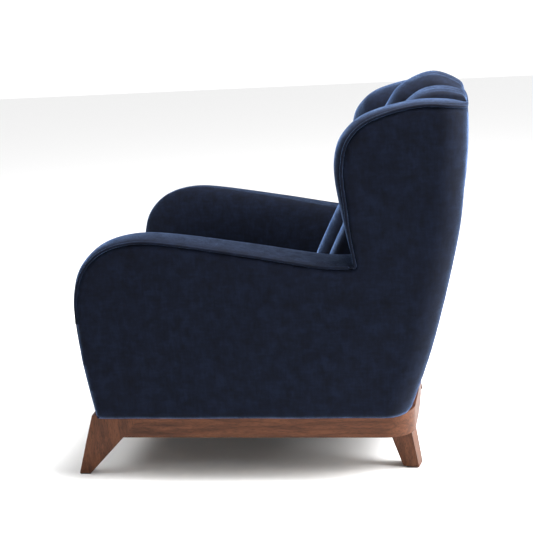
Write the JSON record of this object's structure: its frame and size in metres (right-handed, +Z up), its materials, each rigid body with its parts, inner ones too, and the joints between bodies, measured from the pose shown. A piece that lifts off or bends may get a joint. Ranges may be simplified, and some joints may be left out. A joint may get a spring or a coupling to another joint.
{
  "type": "wing armchair",
  "caption": "Velvet wing armchair with a channelled back, a loose seat cushion and a walnut plinth on splayed legs.",
  "frame": {"origin": "on the floor, under the middle of the chair's bounding box", "axes": "+X to the sitter's left, -Y to the front, +Z up"},
  "size_m": [0.86, 1.046, 1],
  "materials": {
    "velvet": "matte",
    "walnut": "satin",
    "frame_wood": "matte",
    "plywood": "matte",
    "steel": "satin",
    "webbing": "matte",
    "lining": "matte",
    "black_plastic": "matte"
  },
  "bodies": {
    "chair": {"arm_front_post_left": "frame_wood", "arm_front_post_right": "frame_wood", "arm_inner_board_left": "plywood", "arm_inner_board_right": "plywood", "arm_outer_board_left": "plywood", "arm_outer_board_right": "plywood", "arm_padding_left": "velvet", "arm_padding_right": "velvet", "arm_top_rail_left": "frame_wood", "arm_top_rail_right": "frame_wood", "back_channel_center": "velvet", "back_channel_left": "velvet", "back_channel_right": "velvet", "back_lower_rail": "frame_wood", "back_middle_rail": "frame_wood", "back_piping": "velvet", "back_post_left": "frame_wood", "back_post_right": "frame_wood", "back_stile_left": "frame_wood", "back_stile_right": "frame_wood", "back_top_rail": "frame_wood", "back_webbing": "webbing", "body_bolts": "steel", "dust_cover": "lining", "front_border": "velvet", "front_leg_left": "walnut", "front_leg_right": "walnut", "leg_glides": "black_plastic", "outer_back_cover": "velvet", "outer_bottom_rail": "frame_wood", "outer_side_cover_left": "velvet", "outer_side_cover_right": "velvet", "plinth_corner_blocks": "frame_wood", "plinth_corner_left": "walnut", "plinth_corner_right": "walnut", "plinth_front_rail": "walnut", "plinth_rear_rail": "walnut", "plinth_side_rail_left": "walnut", "plinth_side_rail_right": "walnut", "rear_leg_left": "walnut", "rear_leg_right": "walnut", "seat_corner_blocks": "frame_wood", "seat_deck": "lining", "seat_rail_front": "frame_wood", "seat_rail_left": "frame_wood", "seat_rail_rear": "frame_wood", "seat_rail_right": "frame_wood", "seat_springs": "steel", "side_piping_left": "velvet", "side_piping_right": "velvet", "spring_clips": "steel", "wing_board_left": "plywood", "wing_board_right": "plywood", "wing_padding_left": "velvet", "wing_padding_right": "velvet"},
    "cushion": {"seat_cushion": "velvet"}
  },
  "joints": [
    {"name": "cushion_lift", "type": "slide", "parent": "chair", "child": "cushion", "axis": [0, 0, 1], "range_m": [0, 0.7]}
  ]
}
